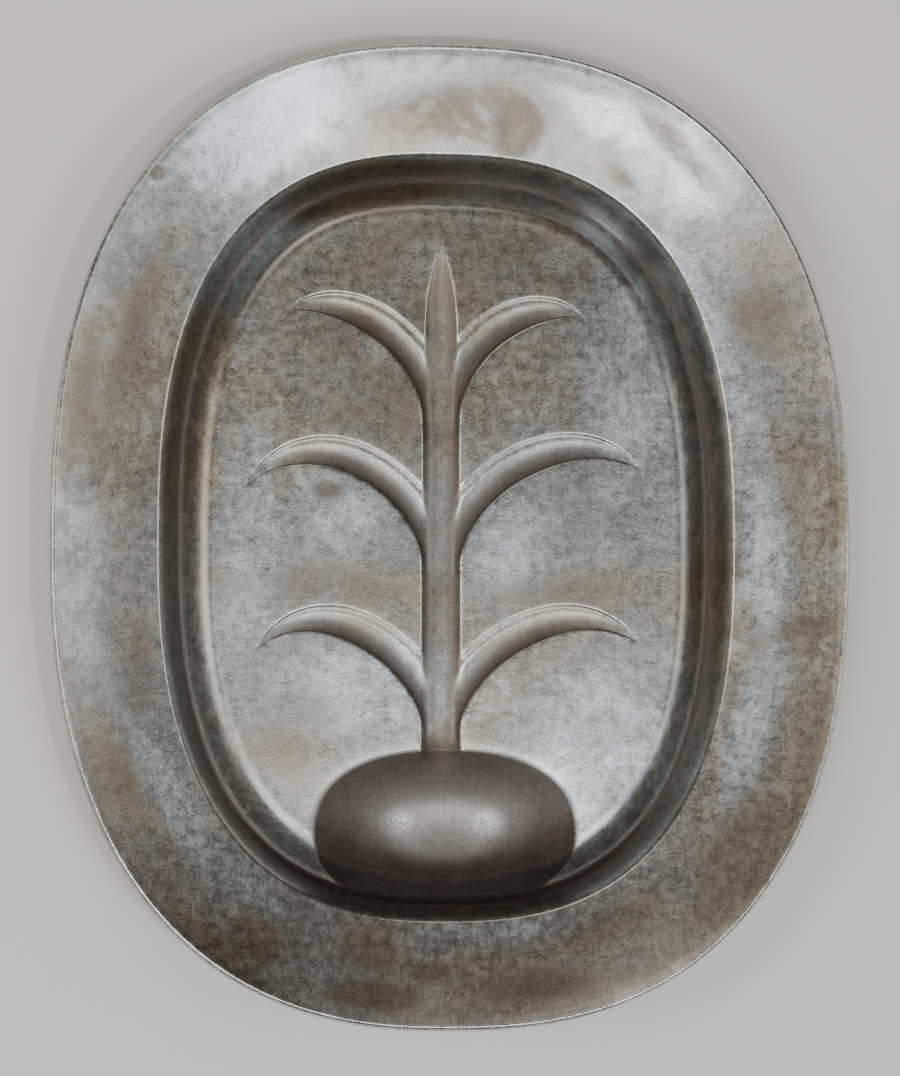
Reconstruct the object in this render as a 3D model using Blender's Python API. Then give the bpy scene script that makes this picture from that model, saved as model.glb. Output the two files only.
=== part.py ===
"""Well-and-tree meat platter, cast in one piece.

An oval dish with a wide sloping rim and a rolled lip. A gutter runs round a flat carving floor,
and a tree of grooves (a trunk with three pairs of drooping branches) leads juice down to an oval
well at one end. The underside follows the upper surface, so the gutter and the well stand proud
underneath, and the dish rests on them.

Metres, +Z up. The origin is at the middle of the plane that the dish rests on, +Y points along
the dish from the well towards the tree's tip, and the trunk lies along Y.
"""
import math

import bmesh
import bpy
import numpy as np
from mathutils import Vector
from mathutils.geometry import delaunay_2d_cdt

# Overall size
LENGTH = 0.298
WIDTH = 0.2432
HEIGHT = 0.0235
SHELL = 0.0028                # thickness of the casting, measured straight down
WALL = 0.0021                 # thickness of its steep walls, measured level

# Ovals, as half sizes and a power: a power of 2 is an ellipse, more is squarer
RIM_SIDE = 0.0343
RIM_END = 0.0331
OUTLINE = (WIDTH / 2, LENGTH / 2, 2.43)
GUTTER = (WIDTH / 2 - RIM_SIDE, LENGTH / 2 - RIM_END, 2.57)
GUTTER_X = -0.0007            # the casting is a little off centre

# Levels of the upper surface
GUTTER_Z = 0.0015             # where the gutter's two sides would meet, if they weren't rounded
WELL_Z = 0.0025
FLOOR_Z = 0.0086
RIM_FOOT_Z = 0.0130           # where the rim starts, at the gutter's outer edge
RIM_HOLLOW = 0.0008           # how far the rim sags below a straight slope
RIM_SLOPE = 0.26
WALL_BLEND = 0.0046           # roundness of the edge between the rim and the gutter

# Gutter section, as distances in from its outer edge
GUTTER_WALL = 0.0074
WALL_CURVE = 2.2
SHOULDER_START = 0.0036
SHOULDER_END = 0.0175
SHOULDER_RISE = 0.9
SHOULDER_FADE = 1.5
RIDGE_INSIDE = 0.0138
RIDGE_WIDTH = 0.0030
RIDGE_HEIGHT = 0.00033

# Lip
LIP_WIDTH = 0.0026
LIP_RISE = 0.0002
LIP_FADE = 0.0026
LIP_MIDDLE_Z = HEIGHT - 0.0022
LIP_UNDER = 0.0010

# Well: two half ovals, and how the gutter's shoulder is lowered beside it
WELL_CENTRE = (-0.0013, -0.0904)
WELL_UPPER = (0.0404, 0.0252, 2.35)
WELL_LOWER = (0.0404, 0.0225, 2.35)
WELL_CURVE = 2.6
WELL_EDGE = 0.0008
WELL_SADDLE = 0.5
SADDLE_HALF_WIDTH = 0.020
SADDLE_Y = -0.094
SADDLE_LENGTH = 0.010

# Tree. The trunk's sections are its height on the dish, its half width and its depth
TRUNK_X = -0.0027
TRUNK_TOP = 0.088
TRUNK_SECTIONS = (
    (-0.086, 0.0063, 0.0034), (-0.062, 0.0061, 0.0030), (-0.020, 0.0061, 0.0029),
    (-0.006, 0.0059, 0.0029), (0.036, 0.0057, 0.0028), (0.052, 0.0053, 0.0024),
    (0.066, 0.0049, 0.0019), (0.073, 0.0044, 0.0015), (0.080, 0.0031, 0.0010),
    (0.085, 0.0018, 0.0005), (0.088, 0.0006, 0.0001),
)
TRUNK_CURVE = 2.5
BRANCH_DEPTH = 0.0019
BRANCH_HALF_WIDTH = 0.0052
BRANCH_NARROWS = 0.5          # share of a branch's length over which it narrows to its tip
TROUGH_CENTRE = -0.24
TROUGH_HALF = 0.72
SHELF_DEPTH = 0.00035
EDGE_SOFTNESS = 0.00026
MERGE_SOFTNESS = 0.0009
FALL_OFF = 0.008              # how fast a groove's section drops away past its edge

# Each pair of branches: height of the root on the trunk, spread and height of its two bends, and
# the left and right tips, all from the trunk. A bend's spread is a share of the tip's
BRANCH_PAIRS = (
    {"root": 0.0350, "bends": ((0.07, 0.0620), (0.66, 0.0764)),
     "left": (-0.0463, 0.0687), "right": (0.0439, 0.0678)},
    {"root": -0.0098, "bends": ((0.07, 0.0199), (0.69, 0.0376)),
     "left": (-0.0587, 0.0156), "right": (0.0607, 0.0220)},
    {"root": -0.0602, "bends": ((0.05, -0.0356), (0.66, -0.0136)),
     "left": (-0.0552, -0.0336), "right": (0.0599, -0.0315)},
)

# Fineness of the faceted shape
RING_STEPS = 84
WELL_STEPS = 44
CURVE_STEPS = 60
GROOVE_PITCH = 0.0055
GROOVE_OFFSETS = (-0.96, -0.55, -0.1, 0.45, 1.0)
WALL_INSETS = (-0.0009, 0.0003, 0.0015, 0.0028, 0.0042, 0.0057)
SHOULDER_INSETS = (0.0072, 0.0090, 0.0108, 0.0126, 0.0146, 0.0175)
WELL_SHARES = (1.0, 0.9, 0.78, 0.64, 0.48, 0.28)
MARGIN = 0.0018               # a row of points this far outside each crisp edge keeps the floor flat
FLOOR_PITCH = 0.016
NEAREST = 0.0011              # two points closer than this become one
MERGE_GAP = 0.25             # crossing lines meet at an existing point this near, in millimetres
TINY = 1e-6
FLAT_ANGLE = math.radians(25)
MILLIMETRE = 0.001

METAL_COLOUR = (0.36, 0.36, 0.35, 1.0)
METAL_ROUGHNESS = 0.42


def oval_level(x, y, oval):
    """0 at the middle of an oval, 1 on its edge, and more outside."""
    half_x, half_y, power = oval
    return ((np.abs(x) / half_x) ** power + (np.abs(y) / half_y) ** power) ** (1 / power)


def distance_inside(x, y, oval):
    """Distance in from an oval's edge, negative outside."""
    half_x, half_y, power = oval
    level = np.maximum(oval_level(x, y, oval), TINY)
    slope_x = (np.abs(x) / half_x / level) ** (power - 1) / half_x
    slope_y = (np.abs(y) / half_y / level) ** (power - 1) / half_y
    return (1 - level) / np.maximum(np.hypot(slope_x, slope_y), TINY)


def oval_point(oval, angle, inset=0.0, centre=(0.0, 0.0)):
    """Point on an oval at an angle from its middle, moved in square to the edge."""
    half_x, half_y, power = oval
    x, y = math.cos(angle), math.sin(angle)
    reach = 1 / float(oval_level(x, y, oval))
    x, y = x * reach, y * reach
    out = Vector((math.copysign((abs(x) / half_x) ** (power - 1) / half_x, x),
                  math.copysign((abs(y) / half_y) ** (power - 1) / half_y, y))).normalized()
    return x - out.x * inset + centre[0], y - out.y * inset + centre[1]


def smooth_step(value):
    """0 to 1 with level ends."""
    value = np.clip(value, 0, 1)
    return value * value * (3 - 2 * value)


def soft_max(a, b, softness):
    """The larger of two values, rounded over where they cross."""
    return (a + b + np.sqrt((a - b) ** 2 + softness ** 2)) / 2


def bezier(points, steps):
    """Points along a cubic Bezier curve."""
    share = np.linspace(0, 1, steps)[:, None]
    start, bend_a, bend_b, end = (np.array(point) for point in points)
    return ((1 - share) ** 3 * start + 3 * (1 - share) ** 2 * share * bend_a
            + 3 * (1 - share) * share ** 2 * bend_b + share ** 3 * end)


SHARES = np.linspace(0, 1, 201)
SHOULDER = np.cumsum(SHARES ** SHOULDER_RISE * (1 - SHARES) ** SHOULDER_FADE)
SHOULDER /= SHOULDER[-1]


def shoulder(inside):
    """0 at the gutter's bottom, 1 on the floor: steep at first, then a long soft bend."""
    return np.interp((inside - SHOULDER_START) / (SHOULDER_END - SHOULDER_START), SHARES, SHOULDER)


class Groove:
    """One groove of the tree: its centre line, and its half width and depth along it."""

    def __init__(self, line, half_widths, depths, upper_side):
        self.line = line
        self.half_widths = half_widths
        self.depths = depths
        self.upper_side = upper_side

    def measure(self, x, y):
        """Signed distance from the centre line, and the half width and depth there."""
        nearest = np.full_like(x, 1.0)
        away, half, depth = np.full_like(x, 1.0), np.full_like(x, 1.0), np.zeros_like(x)
        ends = zip(self.line[:-1], self.line[1:], self.half_widths[:-1], self.half_widths[1:],
                   self.depths[:-1], self.depths[1:])
        for start, end, half_a, half_b, depth_a, depth_b in ends:
            run = end - start
            share = ((x - start[0]) * run[0] + (y - start[1]) * run[1]) / (run @ run)
            share = np.clip(share, 0, 1)
            off_x, off_y = x - start[0] - share * run[0], y - start[1] - share * run[1]
            distance = np.hypot(off_x, off_y)
            closer = distance < nearest
            nearest = np.where(closer, distance, nearest)
            side = np.sign(run[0] * off_y - run[1] * off_x) * self.upper_side
            away = np.where(closer, distance * side, away)
            half = np.where(closer, half_a + (half_b - half_a) * share, half)
            depth = np.where(closer, depth_a + (depth_b - depth_a) * share, depth)
        return away, half, depth


def make_trunk():
    """The trunk, from the well to its pointed tip."""
    along = np.linspace(WELL_CENTRE[1], TRUNK_TOP, int((TRUNK_TOP - WELL_CENTRE[1]) / GROOVE_PITCH))
    heights, halves, depths = (np.array(column) for column in zip(*TRUNK_SECTIONS))
    line = np.stack([np.full_like(along, TRUNK_X), along], axis=1)
    return Groove(line, np.interp(along, heights, halves), np.interp(along, heights, depths), 1)


def make_branch(pair, tip):
    """A branch that arches up from the trunk and droops to its tip."""
    bends = [(spread * tip[0], height) for spread, height in pair["bends"]]
    curve = bezier([(0.0, pair["root"]), *bends, tip], CURVE_STEPS) + np.array([TRUNK_X, 0])
    gone = np.concatenate([[0], np.cumsum(np.hypot(*np.diff(curve, axis=0).T))])
    steps = int(gone[-1] / GROOVE_PITCH)
    share = np.interp(np.linspace(0, gone[-1], steps), gone, np.linspace(0, 1, CURVE_STEPS))
    line = np.stack([np.interp(share, np.linspace(0, 1, CURVE_STEPS), curve[:, axis])
                     for axis in (0, 1)], axis=1)
    left = np.clip((1 - share) / BRANCH_NARROWS, 0.015, 1)
    half = BRANCH_HALF_WIDTH * (1 - (1 - left) ** 1.7) ** 0.8
    depth = (0.55 + 0.45 * (1 - share) ** 3) * BRANCH_DEPTH * left ** 0.6
    return Groove(line, np.maximum(half, 0.2 * MILLIMETRE), depth, math.copysign(1, tip[0]))


TRUNK = make_trunk()
BRANCHES = [make_branch(pair, pair[side]) for pair in BRANCH_PAIRS for side in ("left", "right")]


def trunk_depth(x, y):
    """Depth of the trunk's round-bottomed groove."""
    away, half, depth = TRUNK.measure(x, y)
    across = np.minimum(np.abs(away) / half, 3)
    return depth * (1 - np.minimum(across, 1) ** TRUNK_CURVE) - FALL_OFF * np.maximum(across - 1, 0)


def branch_depth(branch, x, y):
    """Depth of a branch: a trough, steep below and soft above, with a shelf along its upper edge."""
    away, half, depth = branch.measure(x, y)
    across = np.clip(away / half, -3, 3)
    share = (across - TROUGH_CENTRE) / TROUGH_HALF
    shelf = np.minimum(depth, SHELF_DEPTH) * (1 - smooth_step((np.abs(across) - 0.84) / 0.17))
    bend = np.where(share < 0, 1 - np.abs(share) ** 3.2, 1 - share ** 2)
    trough = np.maximum(depth - SHELF_DEPTH, 0) * bend
    beyond = FALL_OFF * np.maximum(np.abs(across) - 1, 0)
    return shelf + soft_max(trough, 0 * x, EDGE_SOFTNESS / 2) - beyond


def tree_depth(x, y):
    """How deep the tree of grooves is at each point."""
    depth = trunk_depth(x, y)
    for branch in BRANCHES:
        depth = soft_max(depth, branch_depth(branch, x, y), MERGE_SOFTNESS)
    return soft_max(depth, 0 * x, EDGE_SOFTNESS)


def well_level(x, y):
    """0 at the well's deepest point, 1 on its edge."""
    off_x, off_y = x - WELL_CENTRE[0], y - WELL_CENTRE[1]
    upper = oval_level(off_x, off_y, WELL_UPPER)
    return np.where(off_y > 0, upper, oval_level(off_x, off_y, WELL_LOWER))


def surface_height(x, y, under=False):
    """Height of the dish's upper surface, or of its underside, at each point."""
    edge = distance_inside(x, y, OUTLINE)
    inside = distance_inside(x - GUTTER_X, y, GUTTER)
    wall_inside = inside + WALL if under else inside

    crest = np.maximum(edge - LIP_WIDTH / 2, 0)
    outward = np.maximum(-wall_inside, 0)
    share = outward / np.maximum(outward + crest, TINY)
    rim = RIM_FOOT_Z + (HEIGHT - LIP_RISE - RIM_FOOT_Z) * share - RIM_HOLLOW * 4 * share * (1 - share)
    bead = np.sqrt(np.clip(1 - (edge / LIP_WIDTH * 2 - 1) ** 2, 0, 1))
    outer = edge < LIP_WIDTH / 2
    if under:
        rim = np.where(outer, LIP_MIDDLE_Z + SHELL - LIP_UNDER, rim)
    else:
        rise = LIP_RISE * (1 - smooth_step(crest / LIP_FADE))
        rim = np.where(outer, LIP_MIDDLE_Z + (HEIGHT - LIP_MIDDLE_Z) * bead, rim + rise)
    rim = rim - RIM_SLOPE * np.maximum(wall_inside, 0)

    wall = np.maximum(1 - wall_inside / GUTTER_WALL, 0) ** WALL_CURVE
    beside_well = smooth_step((np.abs(x - WELL_CENTRE[0]) - SADDLE_HALF_WIDTH) / SADDLE_HALF_WIDTH)
    lowered = smooth_step((SADDLE_Y - y) / SADDLE_LENGTH) * (1 - beside_well)
    rise = shoulder(inside) * (1 - WELL_SADDLE * lowered)
    dish = GUTTER_Z + (RIM_FOOT_Z - GUTTER_Z) * wall + (FLOOR_Z - GUTTER_Z) * rise
    dish = dish - tree_depth(x, y) * rise
    dish = dish + RIDGE_HEIGHT * np.exp(-((inside - RIDGE_INSIDE) / RIDGE_WIDTH) ** 2)
    bowl = WELL_Z + (FLOOR_Z - WELL_Z) * well_level(x, y) ** WELL_CURVE
    dish = np.where(inside > GUTTER_WALL, -soft_max(-dish, -bowl, WELL_EDGE), dish)

    blend = np.maximum(1 - np.abs(rim - dish) / WALL_BLEND, 0) ** 2 * WALL_BLEND / 4
    height = np.where(wall_inside > GUTTER_WALL / 2, dish, np.minimum(rim, dish) - blend)
    return np.maximum(height - SHELL, 0) if under else height


class Layout:
    """Points and the lines that join them, before they are triangulated."""

    def __init__(self):
        self.points = []
        self.lines = []

    def add(self, x, y):
        """Index of a new point, or of the one that is already there."""
        for index, (old_x, old_y) in enumerate(self.points):
            if math.hypot(x - old_x, y - old_y) < NEAREST:
                return index
        self.points.append((x, y))
        return len(self.points) - 1

    def add_loop(self, points):
        """Points in a closed ring, joined up."""
        indices = [self.add(x, y) for x, y in points]
        for first, second in zip(indices, indices[1:] + indices[:1]):
            if first != second:
                self.lines.append((first, second))


def lay_out_rings(layout):
    """Rings of points round the lip, the rim and the gutter."""
    angles = [math.tau * step / RING_STEPS for step in range(RING_STEPS)]
    for inset in (0.0, LIP_WIDTH / 2, LIP_WIDTH):
        layout.add_loop([oval_point(OUTLINE, angle, inset) for angle in angles])
    foot = [oval_point(GUTTER, angle, -WALL, (GUTTER_X, 0)) for angle in angles]
    lip = [oval_point(OUTLINE, angle, LIP_WIDTH) for angle in angles]
    layout.add_loop([((a[0] + b[0]) / 2, (a[1] + b[1]) / 2) for a, b in zip(foot, lip)])
    for inset in (-WALL, *WALL_INSETS, *SHOULDER_INSETS, SHOULDER_END + MARGIN):
        layout.add_loop([oval_point(GUTTER, angle, inset, (GUTTER_X, 0)) for angle in angles])


def lay_out_well(layout):
    """Rings of points round the well and down its bank."""
    for share in (1 + MARGIN / WELL_UPPER[1], *WELL_SHARES):
        ring = []
        for step in range(WELL_STEPS):
            angle = math.tau * step / WELL_STEPS
            half_x, half_y, power = WELL_UPPER if math.sin(angle) > 0 else WELL_LOWER
            ring.append(oval_point((half_x * share, half_y * share, power), angle, 0.0, WELL_CENTRE))
        layout.add_loop(ring)


def lay_out_tree(layout):
    """Rows of points across each groove."""
    for groove in (TRUNK, *BRANCHES):
        along = np.gradient(groove.line, axis=0)
        along /= np.hypot(along[:, 0], along[:, 1])[:, None]
        for (x, y), (run_x, run_y), half_width in zip(groove.line, along, groove.half_widths):
            side = groove.upper_side
            offsets = [half_width * share for share in GROOVE_OFFSETS]
            for offset in (-half_width - MARGIN, *offsets, half_width + MARGIN):
                point_x = x - run_y * offset * side
                point_y = y + run_x * offset * side
                if well_level(point_x, point_y) > 1:
                    layout.add(point_x, point_y)


def lay_out_floor(layout):
    """A few points that fill the plain floor between the grooves."""
    columns = int(WIDTH / FLOOR_PITCH)
    rows = int(LENGTH / FLOOR_PITCH)
    for row in range(-rows, rows + 1):
        for column in range(-columns, columns + 1):
            x, y = (column + row % 2 / 2) * FLOOR_PITCH, row * FLOOR_PITCH * math.sqrt(0.75)
            if distance_inside(x - GUTTER_X, y, GUTTER) < SHOULDER_END + FLOOR_PITCH / 3:
                continue
            if min(math.hypot(x - a, y - b) for a, b in layout.points) > FLOOR_PITCH / 3:
                layout.add(x, y)


def make_platter():
    """The dish as one closed solid."""
    layout = Layout()
    lay_out_rings(layout)
    lay_out_well(layout)
    lay_out_tree(layout)
    lay_out_floor(layout)

    plan = [Vector(point) / MILLIMETRE for point in layout.points]
    points, _, triangles, *_ = delaunay_2d_cdt(plan, layout.lines, [], 0, MERGE_GAP)
    flat = np.array([tuple(point) for point in points]) * MILLIMETRE
    tops = np.minimum(surface_height(flat[:, 0], flat[:, 1]), HEIGHT)
    bottoms = surface_height(flat[:, 0], flat[:, 1], under=True)

    shell = bmesh.new()
    upper = [shell.verts.new((x, y, z)) for (x, y), z in zip(flat, tops)]
    for triangle in triangles:
        shell.faces.new([upper[index] for index in triangle])
    shell.verts.index_update()
    extruded = bmesh.ops.extrude_face_region(shell, geom=shell.faces[:], use_keep_orig=True)
    moved = [item for item in extruded["geom"] if isinstance(item, bmesh.types.BMVert)]
    under = {(x, y): z for (x, y), z in zip((tuple(vertex.co.xy) for vertex in upper), bottoms)}
    for vertex in moved:
        vertex.co.z = under[tuple(vertex.co.xy)]
    bmesh.ops.recalc_face_normals(shell, faces=shell.faces[:])

    mesh = bpy.data.meshes.new("platter")
    shell.to_mesh(mesh)
    shell.free()
    mesh.shade_smooth()
    mesh.set_sharp_from_angle(angle=FLAT_ANGLE)
    return bpy.data.objects.new("platter", mesh)


def make_metal():
    """Dull grey aluminium."""
    metal = bpy.data.materials.new("dull_aluminium")
    metal.use_nodes = True
    shader = metal.node_tree.nodes["Principled BSDF"]
    shader.inputs["Base Color"].default_value = METAL_COLOUR
    shader.inputs["Metallic"].default_value = 1.0
    shader.inputs["Roughness"].default_value = METAL_ROUGHNESS
    return metal


def main():
    for old in list(bpy.data.objects):
        bpy.data.objects.remove(old, do_unlink=True)
    parts = bpy.data.collections.new("well_and_tree_platter")
    bpy.context.scene.collection.children.link(parts)
    platter = make_platter()
    platter.data.materials.append(make_metal())
    parts.objects.link(platter)


main()
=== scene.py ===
"""Looks of an old well-and-tree meat platter: a worn, dull grey aluminium casting."""

import math

import bpy
import numpy as np
from mathutils import Matrix, Vector, noise
from mathutils.geometry import delaunay_2d_cdt
from mathutils.kdtree import KDTree


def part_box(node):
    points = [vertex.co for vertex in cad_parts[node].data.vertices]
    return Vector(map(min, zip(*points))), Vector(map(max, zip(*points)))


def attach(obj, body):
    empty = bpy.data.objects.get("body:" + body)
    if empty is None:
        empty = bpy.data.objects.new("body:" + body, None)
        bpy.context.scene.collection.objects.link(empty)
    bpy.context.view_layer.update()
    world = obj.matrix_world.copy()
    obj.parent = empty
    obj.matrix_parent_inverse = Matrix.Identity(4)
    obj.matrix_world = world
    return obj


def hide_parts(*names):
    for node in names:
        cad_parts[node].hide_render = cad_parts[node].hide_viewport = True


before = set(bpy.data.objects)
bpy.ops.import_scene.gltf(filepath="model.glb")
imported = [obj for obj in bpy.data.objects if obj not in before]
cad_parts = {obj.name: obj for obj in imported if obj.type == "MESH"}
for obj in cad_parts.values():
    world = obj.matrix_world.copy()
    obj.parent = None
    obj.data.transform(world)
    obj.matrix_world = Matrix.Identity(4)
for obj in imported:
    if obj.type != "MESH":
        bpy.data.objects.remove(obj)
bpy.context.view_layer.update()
low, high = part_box("platter")

# Sizes in metres. The overall size comes from the frame, and the rest are the same as the part's
MM = 0.001
WIDTH = high.x - low.x
LENGTH = high.y - low.y
HEIGHT = high.z
SHELL = 2.8 * MM
# Thickness of the gutter's outer wall in plan
WALL = 2.1 * MM

# Ovals are (half width, half length, power) of a superellipse; 2 would be an ellipse
RIM_SIDE = 34.3 * MM
RIM_END = 33.1 * MM
OUTLINE = (WIDTH / 2, LENGTH / 2, 2.43)
GUTTER = (WIDTH / 2 - RIM_SIDE, LENGTH / 2 - RIM_END, 2.57)
GUTTER_X = -0.7 * MM
GUTTER_Z = 1.5 * MM
WELL_Z = 2.5 * MM
FLOOR_Z = 8.6 * MM
RIM_FOOT_Z = 13.0 * MM
RIM_HOLLOW = 0.8 * MM
RIM_SLOPE = 0.26
WALL_BLEND = 4.6 * MM
GUTTER_WALL = 7.4 * MM
WALL_CURVE = 2.2
SHOULDER_START = 3.6 * MM
SHOULDER_END = 17.5 * MM
SHOULDER_RISE, SHOULDER_FADE = 0.9, 1.5

LIP_WIDTH = 2.6 * MM
LIP_RISE = 0.2 * MM
LIP_FADE = 2.6 * MM
LIP_MIDDLE_Z = HEIGHT - 2.2 * MM
LIP_UNDER = 1.0 * MM

RIDGE_INSIDE = 13.8 * MM
RIDGE_WIDTH = 3.0 * MM
RIDGE_HEIGHT = 0.33 * MM

WELL_CENTRE = (-1.3 * MM, -90.4 * MM)
WELL_UPPER = (40.4 * MM, 25.2 * MM, 2.35)
WELL_LOWER = (40.4 * MM, 22.5 * MM, 2.35)
WELL_CURVE = 2.6
WELL_EDGE = 0.8 * MM
# Where the well meets the gutter, the shoulder between them is lower
SADDLE_HALF = 20 * MM
SADDLE_SIDE_FADE = 20 * MM
SADDLE_Y = -94 * MM
SADDLE_FADE = 10 * MM
SADDLE_DROP = 0.5

TRUNK_X = -2.7 * MM
TRUNK_TOP = 88 * MM
# Height along the trunk, half width and depth of its groove, in millimetres
TRUNK_SECTIONS = (
    (-86.0, 6.3, 3.4), (-62.0, 6.1, 3.0), (-20.0, 6.1, 2.9), (-6.0, 5.9, 2.9), (36.0, 5.7, 2.8),
    (52.0, 5.3, 2.4), (66.0, 4.9, 1.9), (73.0, 4.4, 1.5), (80.0, 3.1, 1.0), (85.0, 1.8, 0.5),
    (88.0, 0.6, 0.1),
)
TRUNK_CURVE = 2.5
TRUNK_STATIONS = 120
BRANCH_STATIONS = 130
BRANCH_DEPTH = 1.9 * MM
BRANCH_HALF_WIDTH = 5.2 * MM
BRANCH_TIP_HALF_WIDTH = 0.2 * MM
# A branch gets narrower and shallower over this last share of its length
BRANCH_NARROWS = 0.5
BRANCH_END = 0.015
NARROWS_CURVE, NARROWS_ROUND = 1.7, 0.8
OUTER_DEPTH, ROOT_DEPTH, ROOT_FADE, TIP_DEPTH_CURVE = 0.55, 0.45, 3, 0.6
# Across a branch, in half widths: the trough, its steep lower side, and the shelf's outer edge
TROUGH_CENTRE, TROUGH_HALF = -0.24, 0.72
TROUGH_STEEPNESS = 3.2
SHELF_DEPTH = 0.35 * MM
SHELF_EDGE, SHELF_EDGE_WIDTH = 0.84, 0.17
# Outside its edges a groove's depth goes below zero at this rate, up to a few half widths away
OUTSIDE_FALL = 8 * MM
ACROSS_LIMIT = 3
GROOVE_REACH = 9 * MM
FAR_AWAY = 1.0
EDGE_SOFTNESS = 0.26 * MM
MERGE_SOFTNESS = 0.9 * MM

# Each pair of branches: height of the root on the trunk, spread and height of its two bends, and the
# left and right tips, in millimetres from the trunk. A bend's spread is a share of the tip's
BRANCH_PAIRS = (
    {"root": 35.0, "bends": ((0.07, 62.0), (0.66, 76.4)), "left": (-46.3, 68.7), "right": (43.9, 67.8)},
    {"root": -9.8, "bends": ((0.07, 19.9), (0.69, 37.6)), "left": (-58.7, 15.6), "right": (60.7, 22.0)},
    {"root": -60.2, "bends": ((0.05, -35.6), (0.66, -13.6)), "left": (-55.2, -33.6), "right": (59.9, -31.5)},
)

# Brown stains and pale bluish bloom: centre, half length and half width in millimetres, turn in degrees
# anticlockwise, and strength
STAINS = (
    (107.6, -28.3, 6.6, 3.0, 12, 1.1), (95.0, 70.0, 11, 15, 0, 0.5), (19.8, 126.0, 9, 9, 0, 0.75),
    (53.0, 111.0, 7, 3, -40, 0.5), (79.3, 81.5, 7, 2, 120, 0.4), (88.0, -96.0, 20, 11, 55, 0.6),
    (24.0, -136.0, 17, 5, 6, 0.6), (47.0, -117.5, 16, 4.5, 24, 0.45), (-58.7, -120.4, 9, 6, -30, 0.6),
    (-26.0, -125.0, 9, 8, 0, 0.6), (-26.0, -138.0, 12, 4, -6, 0.9), (-6.4, -131.6, 6, 2.2, 8, 0.85),
    (-70.8, -124.0, 12, 3.5, -42, 0.5), (-95.0, -44.0, 6, 15, 0, 0.42), (-90.3, 107.0, 2.0, 1.7, 0, 0.8),
    (-96.0, 62.0, 5, 30, -16, 0.4), (-4.0, 84.0, 40, 17, 0, 0.3), (34.0, 86.0, 14, 10, -20, 0.5),
    (-22.0, 40.0, 20, 15, 0, 0.35), (-36.0, -16.0, 32, 7, -4, 0.34),
    (38.0, -17.0, 26, 6, 4, 0.3), (-24.0, 106.0, 24, 6, 13, 0.75), (-112.0, 42.0, 5, 16, -10, 0.3),
    (-52.0, -62.0, 14, 10, -40, 0.3), (64.0, 58.0, 5, 20, 8, 0.25), (104.0, 16.0, 8, 20, 4, 0.35),
    (108.0, -66.0, 5, 20, -12, 0.4), (-37.0, 13.5, 5, 3, 0, 0.7), (-100.0, -74.0, 5, 16, 24, 0.3),
    (2.0, 130.0, 32, 10, 0, 0.5), (-30.0, -29.0, 26, 5, 3, 0.3), (-46.0, -52.0, 14, 8, -10, 0.35),
    (-28.0, 62.0, 16, 9, 20, 0.4), (104.0, -30.0, 7, 9, 0, 0.4), (96.0, -40.0, 5, 20, 10, 0.3),
    (68.0, 120.0, 20, 4, -44, 0.45), (38.0, 138.0, 18, 3, -14, 0.4),
)
BLOOMS = (
    (-58.0, 123.0, 26, 12, 34, 1.25), (-24.0, 137.0, 26, 6, 10, 0.5), (47.0, 130.0, 18, 6, -30, 0.9),
    (74.0, 76.0, 42, 6, 114, 0.6), (97.0, -4.0, 6, 26, 3, 0.6), (93.0, -56.0, 5, 26, -16, 0.6),
    (46.0, -66.0, 24, 21, 40, 0.6), (58.0, 42.0, 11, 34, 6, 0.62), (-112.5, -16.0, 6, 24, 4, 0.6),
    (-84.0, -80.0, 26, 4, -62, 0.7), (-64.0, -104.0, 14, 4, -46, 0.6), (-62.0, 88.0, 18, 4, 48, 0.9),
    (-30.0, -46.0, 26, 12, 0, 0.5), (-60.0, -4.0, 8, 26, 0, 0.4), (-34.0, 8.0, 12, 10, 0, 0.5),
    (18.0, -2.0, 10, 12, 0, 0.5), (52.0, 98.0, 16, 3, -38, 0.8), (84.0, -92.0, 8, 20, -32, 0.2),
    (70.0, 112.0, 14, 10, -45, 0.5), (10.0, -120.0, 26, 4, 3, 0.3), (-96.0, 92.0, 6, 22, -36, 0.4),
)

# Where scraping has burnished the metal; the two spots and the band in the well are also painted lighter, as
# painted highlights where the lamps' reflections fall there
BURNISHED_AND_HIGHLIGHTS = (
    (-14.8, -87.5, 6, 4.5, 0, 0.75), (12.2, -87.5, 6, 4.5, 0, 0.75), (-1.3, -88.5, 22, 7, 0, 0.5),
    (-46.0, 97.0, 9, 2.5, 38, 0.6), (50.0, 98.0, 8, 2, -40, 0.5),
)
# Rings left by drops that dried
SWIRLS = (
    (-23.5, 58.0, 5, 4.5, 0, 1.0), (-9.0, 84.0, 10, 7, 60, 0.9), (-16.0, 76.0, 8, 5, 20, 0.8),
    (34.0, 86.0, 7, 6, 0, 1.0), (10.0, 80.0, 6, 5, 0, 0.5),
)
# Hair-thin scratches: middle, length and turn in degrees
SCRATCHES = (
    (37.5, -65.3, 18, 31), (40.8, -77.4, 9, 36), (-22.5, -52.5, 16, 22), (-113.0, -38.0, 9, 62),
    (48.0, 131.0, 7, 18), (56.0, 126.5, 5, 160), (-31.0, 6.0, 12, 78), (88.0, 60.0, 8, 110),
)
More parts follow.
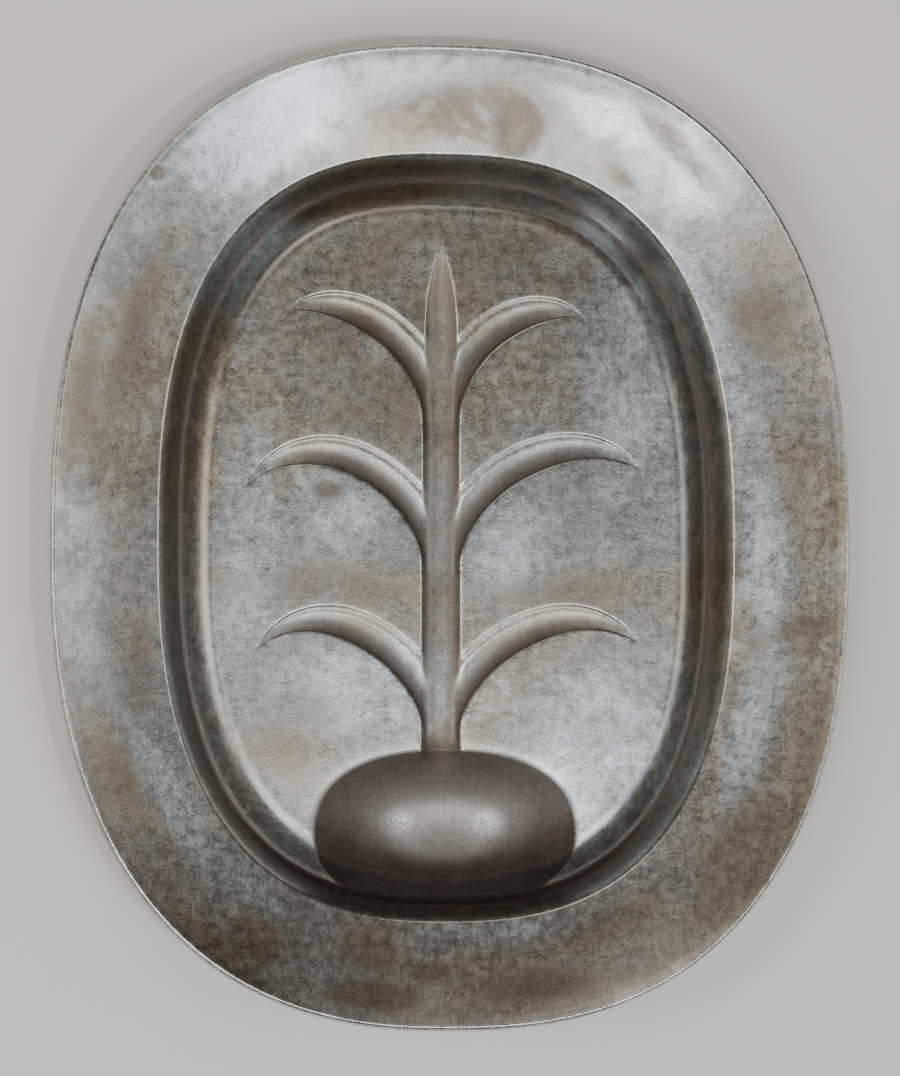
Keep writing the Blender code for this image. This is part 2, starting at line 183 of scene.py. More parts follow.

# How dark the hollows are painted: distance in from the gutter's edge in millimetres, share of the way out
# across the well, the trunk and a branch, and the darkening there from 0 to 1. It is partly dirt and tarnish
# and partly painted shade, on the gutter's outer wall, in the well, on the trunk's right side and on the
# branches' lower sides
GUTTER_SOIL_AND_SHADE = (
    (-1.5, 0), (0.5, 0.3), (2.5, 0.56), (4.5, 0.58), (7, 0.22), (9.5, 0.06), (11.0, 0.02), (13, 0),
)
WELL_SOIL_AND_SHADE = ((0, 0.8), (0.3, 0.62), (0.5, 0.82), (0.75, 0.9), (0.985, 0.93), (1.01, 0))
# Painted shade: the trunk's right side is painted darker than its left
TRUNK_SOIL_AND_SHADE = (
    (-1.03, 0), (-0.92, 0.72), (-0.6, 0.6), (-0.25, 0.35), (0.3, 0.3), (0.7, 0.32), (0.9, 0.36), (1.0, 0),
)
# Painted shade: a branch's lower side is painted dark, and its upper side is left bare
BRANCH_SOIL_AND_SHADE = (
    (-1.03, 0), (-0.98, 0.8), (-0.7, 0.85), (-0.35, 0.75), (-0.02, 0.5), (0.28, 0.08), (0.42, 0),
)
# A line of painted shade along the gutter's bottom, over the reflection of its level floor: distance in,
# half width and darkening
VALLEY = 5.4 * MM
VALLEY_HALF_WIDTH = 1.3 * MM
VALLEY_SHADE = 0.5
# The trunk's foot: the height below which it is painted darker, over what length, and how much
FOOT_Y = -54 * MM
FOOT_FADE = 13 * MM
FOOT_DARKENING = 0.85
ABOVE_WELL, ABOVE_WELL_FADE = 0.8, 0.25
# Grooves this deep get the full darkening
TRUNK_HOLDS = 2 * MM
BRANCH_HOLDS = 0.9 * MM
BRANCH_CLEARS_TRUNK = 1.4 * MM
# A branch's darkening ends where it runs into the trunk
BESIDE_TRUNK = 2.5 * MM
BESIDE_FADE = 3 * MM
# The gutter's low end, by the well, is painted darker: painted shade that dims the reflections along its
# crests there
LOW_END_Y = -80 * MM
LOW_END_FADE = 30 * MM
LOW_END_SHADE = 0.45

# Unevenness of the casting: height, waves to the metre, and a place in the noise
UNDULATIONS = ((0.22 * MM, 20, 3.1), (0.05 * MM, 75, 8.4))
LEVEL_LIP = 6 * MM
CREST_REACH = 1.0 * MM

# The mesh: points round the outline, rings in from it, and lines along a groove in half widths
RING_STEPS = 500
LIP_INSETS = (0.06, 0.22, 0.48, 0.85, 1.3, 1.7, 2.1, 2.5, 2.9, 3.3, 3.7, 4.2)
LIP_END = 4.0 * MM
GROOVE_OFFSETS = (
    -1.35, -1.15, -1.07, -1.02, -0.97, -0.9, -0.8, -0.65, -0.48, -0.3, -0.12, 0.02, 0.14,
    0.24, 0.32, 0.38, 0.44, 0.54, 0.7, 0.84, 0.93, 0.98, 1.02, 1.07, 1.15, 1.35,
)

# What the mesh tells the material about each point
LOOKS = ("crest", "soil_and_shade", "stain", "bloom", "swirl", "burnish_and_highlight")


def oval_level(x, y, oval):
    """0 at the middle of an oval, 1 on its edge, and more outside."""
    half_x, half_y, power = oval
    return ((np.abs(x) / half_x) ** power + (np.abs(y) / half_y) ** power) ** (1 / power)


def distance_inside(x, y, oval):
    """Distance in from an oval's edge, negative outside."""
    half_x, half_y, power = oval
    level = np.maximum(oval_level(x, y, oval), 1e-6)
    slope_x = (np.abs(x) / half_x / level) ** (power - 1) / half_x
    slope_y = (np.abs(y) / half_y / level) ** (power - 1) / half_y
    return (1 - level) / np.maximum(np.hypot(slope_x, slope_y), 1e-6)


def oval_ring(oval, steps, inset=0.0, centre=(0.0, 0.0)):
    """Points round an oval, moved in square to its edge."""
    half_x, half_y, power = oval
    angle = np.arange(steps) / steps * math.tau
    x, y = np.cos(angle), np.sin(angle)
    reach = 1 / oval_level(x, y, oval)
    x, y = x * reach, y * reach
    out_x = np.sign(x) * (np.abs(x) / half_x) ** (power - 1) / half_x
    out_y = np.sign(y) * (np.abs(y) / half_y) ** (power - 1) / half_y
    size = np.hypot(out_x, out_y)
    return np.stack([x - out_x / size * inset + centre[0], y - out_y / size * inset + centre[1]], axis=1)


def smooth_step(value):
    """0 to 1 with level ends."""
    value = np.clip(value, 0, 1)
    return value * value * (3 - 2 * value)


def soft_max(a, b, softness):
    """The larger of two values, rounded over where they cross."""
    return (a + b + np.sqrt((a - b) ** 2 + softness ** 2)) / 2


def bezier(points, steps):
    """Points along a cubic Bezier curve."""
    share = np.linspace(0, 1, steps)[:, None]
    start, bend_a, bend_b, end = (np.array(point) for point in points)
    return ((1 - share) ** 3 * start + 3 * (1 - share) ** 2 * share * bend_a
            + 3 * (1 - share) * share ** 2 * bend_b + share ** 3 * end)


# The shoulder's profile as a table, because its slope has a simple formula and its height doesn't
SHARES = np.linspace(0, 1, 201)
SHOULDER = np.cumsum(SHARES ** SHOULDER_RISE * (1 - SHARES) ** SHOULDER_FADE)
SHOULDER /= SHOULDER[-1]


def shoulder(inside):
    """0 at the foot of the gutter's outer wall, 1 on the floor: steep at first, then a long soft bend."""
    return np.interp((inside - SHOULDER_START) / (SHOULDER_END - SHOULDER_START), SHARES, SHOULDER)


class Groove:
    """One groove of the tree: its centre line, and its half width and depth along it."""

    def __init__(self, line, half_widths, depths, upper_side):
        self.line = line
        self.half_widths = half_widths
        self.depths = depths
        self.upper_side = upper_side

    def measure(self, x, y):
        """Signed distance from the centre line, and the half width and depth there."""
        low_x, low_y = self.line.min(axis=0) - GROOVE_REACH
        high_x, high_y = self.line.max(axis=0) + GROOVE_REACH
        near = (x > low_x) & (x < high_x) & (y > low_y) & (y < high_y)
        found = self.measure_near(x[near], y[near])
        results = np.full_like(x, FAR_AWAY), np.full_like(x, 10 * MM), np.full_like(x, BRANCH_DEPTH)
        for result, values in zip(results, found):
            result[near] = values
        return results

    def measure_near(self, x, y):
        """The same, for points that are near the groove."""
        nearest = np.full_like(x, FAR_AWAY)
        away, half, depth = nearest.copy(), nearest.copy(), np.zeros_like(x)
        ends = zip(self.line[:-1], self.line[1:], self.half_widths[:-1], self.half_widths[1:],
                   self.depths[:-1], self.depths[1:])
        for start, end, half_a, half_b, depth_a, depth_b in ends:
            run = end - start
            share = np.clip(((x - start[0]) * run[0] + (y - start[1]) * run[1]) / (run @ run), 0, 1)
            off_x, off_y = x - start[0] - share * run[0], y - start[1] - share * run[1]
            distance = np.hypot(off_x, off_y)
            closer = distance < nearest
            nearest = np.where(closer, distance, nearest)
            side = np.sign(run[0] * off_y - run[1] * off_x) * self.upper_side
            away = np.where(closer, distance * side, away)
            half = np.where(closer, half_a + (half_b - half_a) * share, half)
            depth = np.where(closer, depth_a + (depth_b - depth_a) * share, depth)
        return away, half, depth


def make_trunk():
    """The trunk, from the well to its pointed tip."""
    along = np.linspace(WELL_CENTRE[1], TRUNK_TOP, TRUNK_STATIONS)
    heights, halves, depths = (np.array(column) * MM for column in zip(*TRUNK_SECTIONS))
    half, depth = np.interp(along, heights, halves), np.interp(along, heights, depths)
    return Groove(np.stack([0 * along + TRUNK_X, along], axis=1), half, depth, 1)


def make_branch(pair, tip):
    """A branch that arches up from the trunk and droops to its tip."""
    bends = [(spread * tip[0], height) for spread, height in pair["bends"]]
    points = np.array([(0, pair["root"]), *bends, tip]) * MM
    line = bezier(points, BRANCH_STATIONS) + np.array([TRUNK_X, 0])
    share = np.linspace(0, 1, BRANCH_STATIONS)
    left = np.clip((1 - share) / BRANCH_NARROWS, BRANCH_END, 1)
    half = BRANCH_HALF_WIDTH * (1 - (1 - left) ** NARROWS_CURVE) ** NARROWS_ROUND
    depth = (OUTER_DEPTH + ROOT_DEPTH * (1 - share) ** ROOT_FADE) * BRANCH_DEPTH * left ** TIP_DEPTH_CURVE
    return Groove(line, np.maximum(half, BRANCH_TIP_HALF_WIDTH), depth, math.copysign(1, tip[0]))


TRUNK = make_trunk()
BRANCHES = [make_branch(pair, pair[side]) for pair in BRANCH_PAIRS for side in ("left", "right")]


def trunk_depth(x, y):
    """Depth of the trunk's round-bottomed groove."""
    away, half, depth = TRUNK.measure(x, y)
    across = np.minimum(np.abs(away) / half, ACROSS_LIMIT)
    return depth * (1 - np.minimum(across, 1) ** TRUNK_CURVE) - OUTSIDE_FALL * np.maximum(across - 1, 0)


def branch_depth(branch, x, y):
    """Depth of a branch: a trough, steep below and soft above, with a shallow shelf along its upper edge."""
    away, half, depth = branch.measure(x, y)
    across = np.clip(away / half, -ACROSS_LIMIT, ACROSS_LIMIT)
    share = (across - TROUGH_CENTRE) / TROUGH_HALF
    shelf = np.minimum(depth, SHELF_DEPTH)
    shelf = shelf * (1 - smooth_step((np.abs(across) - SHELF_EDGE) / SHELF_EDGE_WIDTH))
    section = np.where(share < 0, 1 - np.abs(share) ** TROUGH_STEEPNESS, 1 - share ** 2)
    trough = soft_max(np.maximum(depth - SHELF_DEPTH, 0) * section, 0 * x, EDGE_SOFTNESS / 2)
    return shelf + trough - OUTSIDE_FALL * np.maximum(np.abs(across) - 1, 0)


def tree_depth(x, y):
    """How deep the tree of grooves is at each point."""
    depth = trunk_depth(x, y)
    for branch in BRANCHES:
        depth = soft_max(depth, branch_depth(branch, x, y), MERGE_SOFTNESS)
    return soft_max(depth, 0 * x, EDGE_SOFTNESS)


def well_level(x, y):
    """0 at the well's deepest point, 1 on its edge."""
    off_x, off_y = x - WELL_CENTRE[0], y - WELL_CENTRE[1]
    return np.where(off_y > 0, oval_level(off_x, off_y, WELL_UPPER), oval_level(off_x, off_y, WELL_LOWER))


def surface_height(x, y, under=False):
    """Height of the platter's upper surface, or of its underside, at each point."""
    edge = distance_inside(x, y, OUTLINE)
    inside = distance_inside(x - GUTTER_X, y, GUTTER)
    wall_inside = inside + WALL if under else inside

    crest = np.maximum(edge - LIP_WIDTH / 2, 0)
    outward = np.maximum(-wall_inside, 0)
    share = outward / np.maximum(outward + crest, 1e-6)
    rim = RIM_FOOT_Z + (HEIGHT - LIP_RISE - RIM_FOOT_Z) * share - RIM_HOLLOW * 4 * share * (1 - share)
    bead = np.sqrt(np.clip(1 - (edge / LIP_WIDTH * 2 - 1) ** 2, 0, 1))
    outer = edge < LIP_WIDTH / 2
    if under:
        rim = np.where(outer, LIP_MIDDLE_Z + SHELL - LIP_UNDER * bead, rim)
    else:
        rise = LIP_RISE * (1 - smooth_step(crest / LIP_FADE))
        rim = np.where(outer, LIP_MIDDLE_Z + (HEIGHT - LIP_MIDDLE_Z) * bead, rim + rise)

    wall = np.maximum(1 - wall_inside / GUTTER_WALL, 0) ** WALL_CURVE
    beside_well = smooth_step((np.abs(x - WELL_CENTRE[0]) - SADDLE_HALF) / SADDLE_SIDE_FADE)
    lowered = smooth_step((SADDLE_Y - y) / SADDLE_FADE) * (1 - beside_well)
    rise = shoulder(inside) * (1 - SADDLE_DROP * lowered)
    dish = GUTTER_Z + (RIM_FOOT_Z - GUTTER_Z) * wall + (FLOOR_Z - GUTTER_Z) * rise
    dish = dish - tree_depth(x, y) * rise
    dish = dish + RIDGE_HEIGHT * np.exp(-((inside - RIDGE_INSIDE) / RIDGE_WIDTH) ** 2)
    bowl = WELL_Z + (FLOOR_Z - WELL_Z) * well_level(x, y) ** WELL_CURVE
    bowled = -soft_max(-dish, -bowl, WELL_EDGE)
    dish = np.where(inside > GUTTER_WALL, bowled, dish)

    rim = rim - RIM_SLOPE * np.maximum(wall_inside, 0)
    blend = np.maximum(1 - np.abs(rim - dish) / WALL_BLEND, 0) ** 2 * WALL_BLEND / 4
    height = np.where(wall_inside > GUTTER_WALL / 2, dish, np.minimum(rim, dish) - blend)
    return np.maximum(height - SHELL, 0) if under else height


class Scatter:
    """Points in plan. What is added keeps a least distance from the points before it."""

    def __init__(self, first):
        self.points = first

    def add(self, points, gap):
        tree = KDTree(len(self.points))
        for index, point in enumerate(self.points):
            tree.insert((point[0], point[1], 0), index)
        tree.balance()
        keep = [tree.find((point[0], point[1], 0))[2] > gap for point in points]
        self.points = np.concatenate([self.points, points[keep]])


def lay_out(fine):
    """Points that follow the platter's features, closer together if fine. The outline comes first."""
    scatter = Scatter(oval_ring(OUTLINE, RING_STEPS))
    steps = RING_STEPS if fine else RING_STEPS // 2
    for inset in LIP_INSETS:
        scatter.add(oval_ring(OUTLINE, steps, inset * MM), 0.02 * MM)
    foot = oval_ring(GUTTER, steps, -WALL, (GUTTER_X, 0))
    lip = oval_ring(OUTLINE, steps, LIP_END)
    for share in np.linspace(0, 1, 20 if fine else 8)[1:-1]:
        scatter.add(foot * (1 - share) + lip * share, 0.5 * MM)
    for inset in np.arange(-2.2, 2.5, 0.33 if fine else 0.7) * MM:
        scatter.add(oval_ring(GUTTER, RING_STEPS * 2 if fine else steps, inset, (GUTTER_X, 0)), 0.15 * MM)
    for inset in np.arange(2.8 * MM, SHOULDER_END + 3 * MM, (0.8 if fine else 1.4) * MM):
        scatter.add(oval_ring(GUTTER, steps, inset, (GUTTER_X, 0)), 0.15 * MM)
    for share in np.arange(1.1, 0.06, -0.025 if fine else -0.06):
        for side, (half_x, half_y, power) in ((1, WELL_UPPER), (-1, WELL_LOWER)):
            ring = oval_ring((half_x * share, half_y * share, power), int(60 + 180 * share))
            half_ring = ring[ring[:, 1] * side > 0]
            scatter.add(half_ring + np.array(WELL_CENTRE), 0.3 * MM)
    for groove in [TRUNK, *BRANCHES]:
        run = np.gradient(groove.line, axis=0)
        run /= np.hypot(run[:, 0], run[:, 1])[:, None]
        normal = np.stack([-run[:, 1], run[:, 0]], axis=1) * groove.upper_side
        stations = range(0, len(groove.line), 1 if fine else 2)
        rows = [groove.line[i] + normal[i] * groove.half_widths[i] * offset
                for i in stations for offset in GROOVE_OFFSETS[::1 if fine else 3]]
        scatter.add(np.array(rows), 0.14 * MM)
    pitch = (1.6 if fine else 3.2) * MM
    columns, rows = np.meshgrid(np.arange(-70, 71), np.arange(-90, 91))
    fill = np.stack([(columns + rows % 2 / 2).ravel() * pitch, rows.ravel() * pitch * 0.866], axis=1)
    inside = distance_inside(fill[:, 0] - GUTTER_X, fill[:, 1], GUTTER) > SHOULDER_END
    scatter.add(fill[inside], pitch * 0.5)
    return scatter.points


def triangulate(points):
    """Triangles over points in plan."""
    plan = [Vector(point) / MM for point in points]
    verts, _, faces, *_ = delaunay_2d_cdt(plan, [], [], 0, 1e-6)
    if len(verts) != len(points):
        raise ValueError("points merged in the triangulation")
    return faces


def undulation(x, y):
    """Slight unevenness of an old casting."""
    return np.array([sum(size * noise.noise(Vector((a * scale, b * scale, level)))
                         for size, scale, level in UNDULATIONS) for a, b in zip(x, y)])


def stands_out(x, y, reach):
    """How far each point stands above the mean of six points round it, in millimetres."""
    around = [surface_height(x + reach * math.cos(turn), y + reach * math.sin(turn))
              for turn in np.arange(6) * math.tau / 6]
    return (surface_height(x, y) - sum(around) / 6) / MM


def soil_and_shade(x, y):
    """How dark the hollows are painted, from 0 to 1: partly dirt and tarnish, partly painted shade."""
    inside = distance_inside(x - GUTTER_X, y, GUTTER)
    dirt_and_shade = np.interp(inside / MM, *zip(*GUTTER_SOIL_AND_SHADE))
    dirt_and_shade = dirt_and_shade + VALLEY_SHADE * np.exp(-((inside - VALLEY) / VALLEY_HALF_WIDTH) ** 2)
    dirt_and_shade = np.maximum(dirt_and_shade, np.interp(well_level(x, y), *zip(*WELL_SOIL_AND_SHADE)) * (inside > 4 * MM))
    away, half, depth = TRUNK.measure(x, y)
    deep = np.minimum(depth / TRUNK_HOLDS, 1)
    foot = FOOT_DARKENING * smooth_step((FOOT_Y - y) / FOOT_FADE)
    above_well = smooth_step((well_level(x, y) - ABOVE_WELL) / ABOVE_WELL_FADE)
    trunk = np.maximum(np.interp(away / half, *zip(*TRUNK_SOIL_AND_SHADE)), foot)
    trunk = trunk * deep * (np.abs(away) < half) * above_well
    beside = smooth_step((np.abs(x - TRUNK_X) - BESIDE_TRUNK) / BESIDE_FADE)
    for branch in BRANCHES:
        away, half, depth = branch.measure(x, y)
        deep = np.minimum(depth / BRANCH_HOLDS, 1) * beside
        dirt_and_shade = np.maximum(dirt_and_shade, np.interp(away / half, *zip(*BRANCH_SOIL_AND_SHADE)) * deep)
        trunk = trunk * (1 - smooth_step(branch_depth(branch, x, y) / BRANCH_CLEARS_TRUNK) * beside)
    dirt_and_shade = np.maximum(dirt_and_shade, trunk)
    return dirt_and_shade * (1 + LOW_END_SHADE * smooth_step((LOW_END_Y - y) / LOW_END_FADE))


def blotches(x, y, patches):
    """Soft oval patches laid over each other."""
    total = 0 * x
    for centre_x, centre_y, half_length, half_width, turn, strength in patches:
        angle = math.radians(turn)
        off_x, off_y = x / MM - centre_x, y / MM - centre_y
        along = (off_x * math.cos(angle) + off_y * math.sin(angle)) / half_length
        across = (off_y * math.cos(angle) - off_x * math.sin(angle)) / half_width
        total = np.maximum(total, strength * np.exp(-(along ** 2 + across ** 2) ** 1.3 * 0.7))
    return total


def make_platter():
    """The platter as one closed mesh: an upper and a lower sheet that share the outline."""
    verts, faces, looks = [], [], []
    for under in (False, True):
        plan = lay_out(not under)
        triangles = triangulate(plan)
        x, y = plan[:, 0], plan[:, 1]
        z = surface_height(x, y, under)
        uneven = smooth_step(distance_inside(x, y, OUTLINE) / LEVEL_LIP) * smooth_step(z / MM)
        z = np.clip(z + undulation(x, y) * uneven, 0, HEIGHT)
        z[:RING_STEPS] = LIP_MIDDLE_Z
        start = len(verts)
        if not under:
            verts += np.stack([x, y, z], axis=1).tolist()
            faces += [tuple(face) for face in triangles]
            looks = [stands_out(x, y, CREST_REACH), soil_and_shade(x, y)]
            looks += [blotches(x, y, patches) for patches in (STAINS, BLOOMS, SWIRLS, BURNISHED_AND_HIGHLIGHTS)]
            continue
        verts += np.stack([x, y, z], axis=1)[RING_STEPS:].tolist()
        shift = start - RING_STEPS
        faces += [tuple(i if i < RING_STEPS else i + shift for i in reversed(face)) for face in triangles]
    mesh = bpy.data.meshes.new("worn_platter")
    mesh.from_pydata(verts, [], faces)
    mesh.shade_smooth()
    for name, values in zip(LOOKS, looks):
        attribute = mesh.attributes.new(name, "FLOAT", "POINT")
        attribute.data.foreach_set("value", np.pad(values, (0, len(verts) - len(values))).astype(np.float32))
    platter = bpy.data.objects.new("worn_platter", mesh)
    bpy.context.scene.collection.objects.link(platter)
    return platter


class Graph:
    """Adds nodes to a material and joins them up."""

    def __init__(self, material):
        material.use_nodes = True
        self.nodes, self.links = material.node_tree.nodes, material.node_tree.links

    def put(self, socket, value):
        if isinstance(value, bpy.types.NodeSocket):
            self.links.new(value, socket)
        else:
            socket.default_value = value

    def add(self, kind, output=0, settings=(), **inputs):
        node = self.nodes.new(kind)
        for name, value in settings:
            setattr(node, name, value)
        for name, value in inputs.items():
            self.put(node.inputs[name.replace("_", " ")], value)
        return node.outputs[output]

    def sum(self, *terms):
        """Sum of (value, weight) pairs."""
        total = 0.0
        for value, weight in terms:
            node = self.nodes.new("ShaderNodeMath")
            node.operation = "MULTIPLY_ADD"
            for socket, item in zip(node.inputs, (value, weight, total)):
                self.put(socket, item)
            total = node.outputs[0]
        return total

    def times(self, a, b):
        node = self.nodes.new("ShaderNodeMath")
        node.operation = "MULTIPLY"
        self.put(node.inputs[0], a)
        self.put(node.inputs[1], b)
        return node.outputs[0]

    def ramp(self, value, start, end, low=0.0, high=1.0):
        """Smooth step from low to high as a value goes from start to end."""
        node = self.nodes.new("ShaderNodeMapRange")
        node.interpolation_type = "SMOOTHSTEP"
        for socket, item in zip(node.inputs, (value, start, end, low, high)):
            self.put(socket, item)
        return node.outputs[0]

    def mix(self, share, a, b, blend="MIX"):
        node = self.nodes.new("ShaderNodeMix")
        node.data_type = "RGBA"
        node.blend_type = blend
        self.put(node.inputs[0], share)
        self.put(node.inputs[6], a)
        self.put(node.inputs[7], b)
        return node.outputs[2]

    def noise(self, place, scale, detail=4.0, roughness=0.5, twist=0.0, output=0):
        return self.add("ShaderNodeTexNoise", output, Vector=place, Scale=scale, Detail=detail,
                        Roughness=roughness, Distortion=twist)

    def stretch(self, place, scale, turn=0.0):
        return self.add("ShaderNodeMapping", Vector=place, Scale=scale, Rotation=(0, 0, math.radians(turn)))

    def line(self, place, x, y, length, turn, width=0.22):
        """1 along a thin tapered stroke."""
        near = self.add("ShaderNodeMapping", settings=(("vector_type", "TEXTURE"),), Vector=place,
                        Location=(x * MM, y * MM, 0), Rotation=(0, 0, math.radians(turn)),
                        Scale=(length * MM / 2, width * MM / 2, 100))
        length = self.add("ShaderNodeVectorMath", 1, (("operation", "LENGTH"),), Vector=near)
        return self.ramp(length, 1.0, 0.35)

    def attribute(self, name):
        return self.add("ShaderNodeAttribute", 2, (("attribute_name", name),))


# Colours of the metal, its tarnish and its dirt, and of the painted shade and painted highlights, in linear
# light
PALE = (0.60, 0.655, 0.67, 1)
GREY = (0.345, 0.355, 0.345, 1)
WARM = (0.31, 0.267, 0.212, 1)
BROWN = (0.175, 0.145, 0.122, 1)
DIRT_AND_SHADE = (0.118, 0.094, 0.082, 1)
GRIME_AND_SHADE = (0.045, 0.037, 0.033, 1)
RUST = (0.16, 0.085, 0.05, 1)
RUBBED_AND_GLINT = (0.72, 0.73, 0.70, 1)


def make_metal():
    """Dull aluminium with tarnish, bloom, stains, grain and scratches, with painted shade in the hollows and
    painted highlights on the crests and the well's burnished spots.
    """
    metal = bpy.data.materials.new("dull_aluminium")
    graph = Graph(metal)
    shader = graph.nodes["Principled BSDF"]
    shader.inputs["Metallic"].default_value = 1.0
    place = graph.add("ShaderNodeTexCoord", 3)
    crest, soiled_and_shaded, stain, bloom, swirl, burnish_and_highlight = (graph.attribute(name) for name in LOOKS)

    # Noise, from patches 60 mm across down to the grain of the casting, and rubbing marks both ways
    cloud = graph.noise(place, 17, 5, 0.55, 0.6)
    patch = graph.noise(place, 70, 8, 0.66, 0.8)
    fleck = graph.noise(place, 330, 6, 0.7, 0.3)
    grain = graph.noise(place, 1500, 3, 0.6)
    up_streaks = graph.noise(graph.stretch(place, (1500, 45, 200)), 1, 4, 0.6)
    cross_streaks = graph.noise(graph.stretch(place, (50, 1300, 200), 4), 1, 4, 0.6)

    # How much of each layer shows
    bloom_share = graph.ramp(graph.sum((bloom, 1.1), (patch, 1.6), (cloud, 0.8), (fleck, 0.5)), 1.42, 2.4)
    ragged_stain = graph.sum((stain, 1.5), (patch, 1.9), (fleck, 0.7), (up_streaks, 0.3))
    stain_share = graph.ramp(ragged_stain, 1.66, 2.35)
    warm_share = graph.ramp(graph.sum((cloud, 1.0), (patch, 0.5), (bloom, -0.5), (stain, 0.35)), 0.60, 0.95)
    # Dirt and painted shade in the hollows, from the mesh, broken up by noise
    dirt_and_shade_share = graph.times(soiled_and_shaded, graph.sum((patch, 0.30), (fleck, 0.25), (0.70, 1.0)))
    grime_and_shade_share = graph.ramp(graph.sum((dirt_and_shade_share, 1.0), (patch, 0.4)), 0.95, 1.55)
    # Crests are painted lighter: partly rubbed wear, partly a painted highlight along the edges
    rub_and_glint_share = graph.times(graph.ramp(graph.sum((crest, 5.0), (fleck, 0.12)), 0.2, 1.1),
                            graph.sum((soiled_and_shaded, -0.9), (1.0, 1.0)))

    # The layers, from the bare metal up
    colour = graph.mix(warm_share, GREY, WARM)
    colour = graph.mix(bloom_share, colour, PALE)
    colour = graph.mix(graph.times(stain_share, 0.82), colour, BROWN)
    # Drop rings follow the contour lines of a smooth noise
    ripple = graph.add("ShaderNodeMath", 0, (("operation", "SINE"),),
                       Value=graph.times(graph.noise(place, 95, 2, 0.5, 1.6), 46.0))
    ring_share = graph.times(graph.ramp(ripple, 0.55, 1.0), graph.ramp(swirl, 0.35, 0.75))
    colour = graph.mix(graph.times(graph.ramp(swirl, 0.2, 0.9), 0.22), colour, PALE)
    colour = graph.mix(graph.times(ring_share, 0.45), colour, BROWN)
    # Scratches waver a little
    wobbly = graph.mix(0.0012, place, graph.noise(place, 60, 2, 0.5, 0.0, 1), "ADD")
    scratched = graph.sum(*((graph.line(wobbly, *scratch), 1.0) for scratch in SCRATCHES))
    colour = graph.mix(graph.times(scratched, 0.6), colour, RUST)
    # Rubbed crests, lighter: wear and a painted highlight along the edges
    colour = graph.mix(graph.times(rub_and_glint_share, 0.6), colour, RUBBED_AND_GLINT)
    # Painted shade and dirt darken the hollows, near black where thickest; the well's burnished spots take
    # less of it, which paints them lighter as painted highlights
    colour = graph.mix(graph.sum((dirt_and_shade_share, 1.0), (burnish_and_highlight, -0.42)), colour, DIRT_AND_SHADE)
    colour = graph.mix(grime_and_shade_share, colour, GRIME_AND_SHADE)
    mottle = graph.sum((grain, 0.7), (fleck, 0.85), (patch, 0.7), (up_streaks, 0.3), (cross_streaks, 0.15))
    colour = graph.mix(1.0, colour, graph.ramp(mottle, 0.95, 1.75, 0.54, 1.26), "MULTIPLY")
    graph.put(shader.inputs["Base Color"], colour)

    roughness = graph.sum((stain_share, 0.08), (dirt_and_shade_share, 0.34), (burnish_and_highlight, -0.42), (bloom_share, -0.03),
                          (fleck, 0.30), (grain, 0.14), (rub_and_glint_share, -0.08), (0.13, 1.0))
    graph.put(shader.inputs["Roughness"], roughness)
    relief = graph.sum((grain, 0.6), (fleck, 1.2), (patch, 1.0), (up_streaks, 0.25), (cross_streaks, 0.12),
                       (stain_share, -0.35), (ring_share, -0.25), (scratched, -1.2))
    bumps = graph.add("ShaderNodeBump", Strength=0.55, Distance=0.12 * MM, Height=relief)
    graph.put(shader.inputs["Normal"], bumps)
    return metal


FLOOR_SIZE = 6.0
FLOOR_GAP = 0.4 * MM
FLOOR_COLOUR = (0.80, 0.79, 0.77, 1)


def make_stage():
    """A plain pale floor."""
    bpy.ops.mesh.primitive_plane_add(size=FLOOR_SIZE, location=(0, 0, -FLOOR_GAP))
    floor = bpy.context.object
    floor.name = "pale_floor"
    paint = bpy.data.materials.new("pale_floor")
    paint.use_nodes = True
    shader = paint.node_tree.nodes["Principled BSDF"]
    shader.inputs["Base Color"].default_value = FLOOR_COLOUR
    shader.inputs["Roughness"].default_value = 0.9
    floor.data.materials.append(paint)


def add_light(name, place, size, power, colour, aim=(0, 0, 0)):
    """A soft rectangular light that faces the platter."""
    data = bpy.data.lights.new(name, "AREA")
    data.shape = "RECTANGLE"
    data.size, data.size_y = size
    data.energy = power
    data.color = colour
    light = bpy.data.objects.new(name, data)
    light.location = place
    light.rotation_euler = (Vector(aim) - Vector(place)).to_track_quat("-Z", "Y").to_euler()
    bpy.context.scene.collection.objects.link(light)


COOL, NEUTRAL, SUNNY = (0.90, 0.97, 1.0), (1.0, 0.99, 0.96), (1.0, 0.93, 0.84)
WORLD_COLOUR = (0.36, 0.275, 0.22, 1)
WORLD_STRENGTH = 0.25
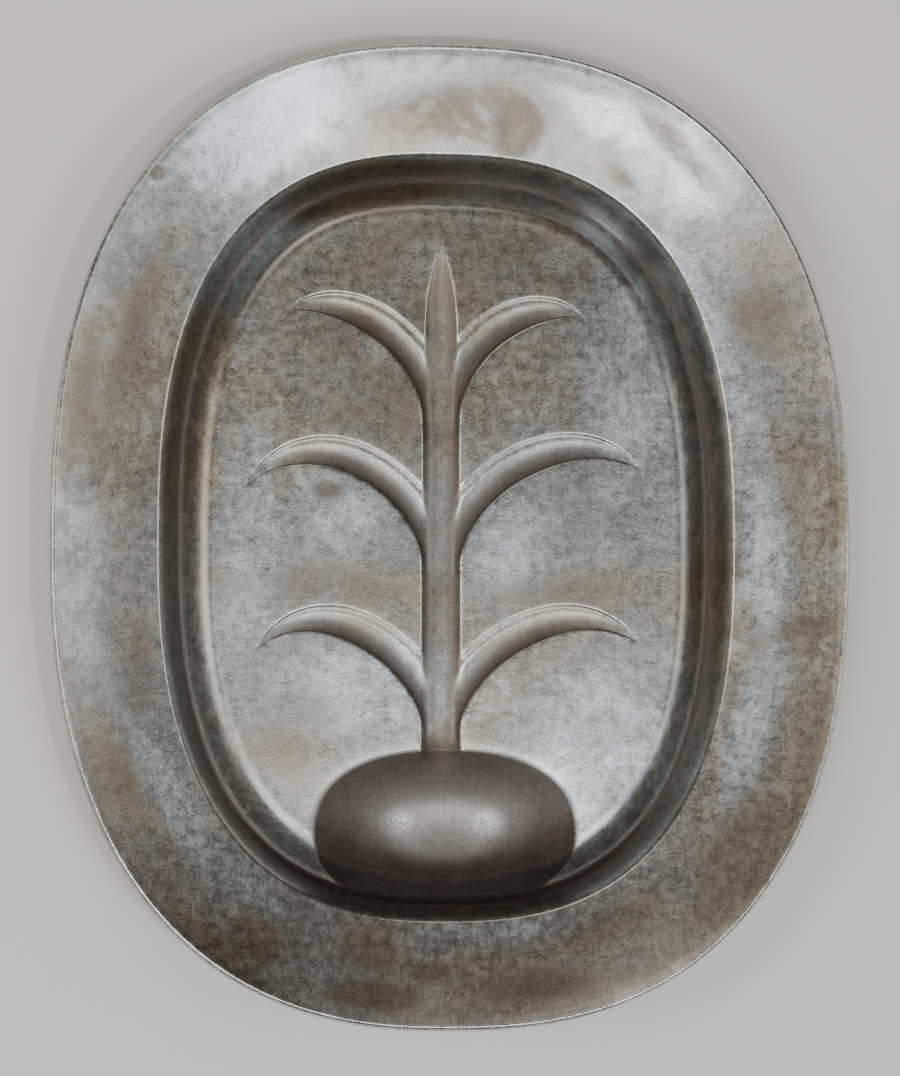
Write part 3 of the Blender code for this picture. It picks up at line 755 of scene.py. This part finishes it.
# Name, place and size in metres, power in watts, and colour
LIGHTS = (
    ("softbox", (0.05, -0.32, 1.6), (1.0, 0.80), 2.8, COOL),
    ("lamp_left", (-0.26, -0.38, 1.5), (0.06, 0.06), 3.1, NEUTRAL),
    ("lamp_right", (0.26, -0.38, 1.5), (0.06, 0.06), 3.1, NEUTRAL),
    ("window_left", (-0.66, -0.82, 1.4), (0.6, 0.5), 6.6, COOL),
    ("window_right", (0.66, -0.82, 1.4), (0.6, 0.5), 5.0, COOL),
    ("side", (1.7, 0.0, 1.25), (0.9, 1.1), 7.5, NEUTRAL),
    ("other_side", (-1.7, -0.05, 1.25), (0.9, 1.1), 13.0, SUNNY),
    ("far_lamp", (-0.12, 0.58, 0.62), (0.55, 0.14), 0.7, NEUTRAL, (0, 0.1, 0)),
    ("far_side", (-0.35, 1.2, 1.5), (0.9, 0.4), 2.0, SUNNY),
)


def light_scene():
    """Soft light from above, from the sides and from the well's end, dimmer at the tree's end."""
    world = bpy.data.worlds.new("studio")
    world.use_nodes = True
    background = world.node_tree.nodes["Background"]
    background.inputs["Color"].default_value = WORLD_COLOUR
    background.inputs["Strength"].default_value = WORLD_STRENGTH
    bpy.context.scene.world = world
    for light in LIGHTS:
        add_light(*light)


# The camera leans towards -X and -Y from straight above its target
LENS = 110.0
CAMERA_DISTANCE = 1.0
LEAN_X, LEAN_Y = math.radians(-8), math.radians(-4.5)
TARGET = Vector((-0.5 * MM, -1.0 * MM, 12 * MM))


def make_camera():
    """Nearly straight down."""
    data = bpy.data.cameras.new("camera")
    data.lens = LENS
    camera = bpy.data.objects.new("camera", data)
    back = Vector((math.sin(LEAN_X), math.sin(LEAN_Y), 1)).normalized()
    camera.location = TARGET + back * CAMERA_DISTANCE
    right = Vector((0, 1, 0)).cross(back).normalized()
    camera.rotation_euler = Matrix((right, back.cross(right), back)).transposed().to_euler()
    bpy.context.scene.collection.objects.link(camera)
    bpy.context.scene.camera = camera


platter = make_platter()
platter.data.materials.append(make_metal())
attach(platter, "root")
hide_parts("platter")
make_stage()
light_scene()
make_camera()
